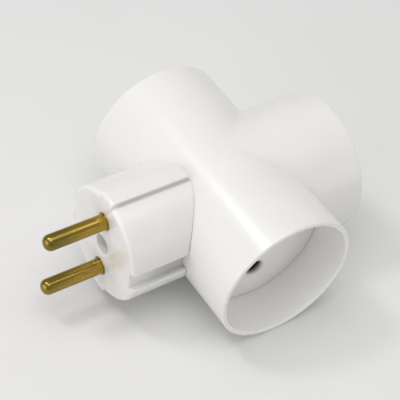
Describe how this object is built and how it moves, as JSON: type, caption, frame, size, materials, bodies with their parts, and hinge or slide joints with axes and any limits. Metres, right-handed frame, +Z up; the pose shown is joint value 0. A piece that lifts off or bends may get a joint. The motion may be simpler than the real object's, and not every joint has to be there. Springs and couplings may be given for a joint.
{
  "type": "three-outlet plug adapter",
  "caption": "T-shaped white plug adapter: round two-pin plug at the back, a round recessed outlet to each side and to the front.",
  "frame": {"origin": "centre of the plug's face, midway between the two pins", "axes": "+X along the plug's axis towards the front outlet, +Y towards the left outlet, +Z up along the line of the pins"},
  "size_m": [0.0963, 0.072, 0.044],
  "materials": {
    "white_housing": "glossy white",
    "white_base": "glossy white",
    "white_floor": "satin white",
    "barrier_plastic": "matt, undyed",
    "pin_brass": "turned and polished",
    "strip_brass": "rolled sheet",
    "contact_brass": "rolled sheet",
    "rivet_brass": "headed",
    "washer_steel": "zinc plated",
    "screw_steel": "zinc plated"
  },
  "bodies": {
    "root": {"housing": "white_housing", "plug_base": "white_base", "outlet_floor_left": "white_floor", "outlet_floor_right": "white_floor", "outlet_floor_front": "white_floor", "barrier": "barrier_plastic", "plug_pin_upper": "pin_brass", "plug_pin_lower": "pin_brass", "pin_washer_upper": "washer_steel", "pin_washer_lower": "washer_steel", "pole_strip_upper": "strip_brass", "pole_strip_lower": "strip_brass", "rivets_upper": "rivet_brass", "rivets_lower": "rivet_brass", "base_screw": "screw_steel", "contact_upper_left": "contact_brass", "contact_lower_left": "contact_brass", "contact_upper_right": "contact_brass", "contact_lower_right": "contact_brass", "contact_upper_front": "contact_brass", "contact_lower_front": "contact_brass"}
  },
  "joints": []
}
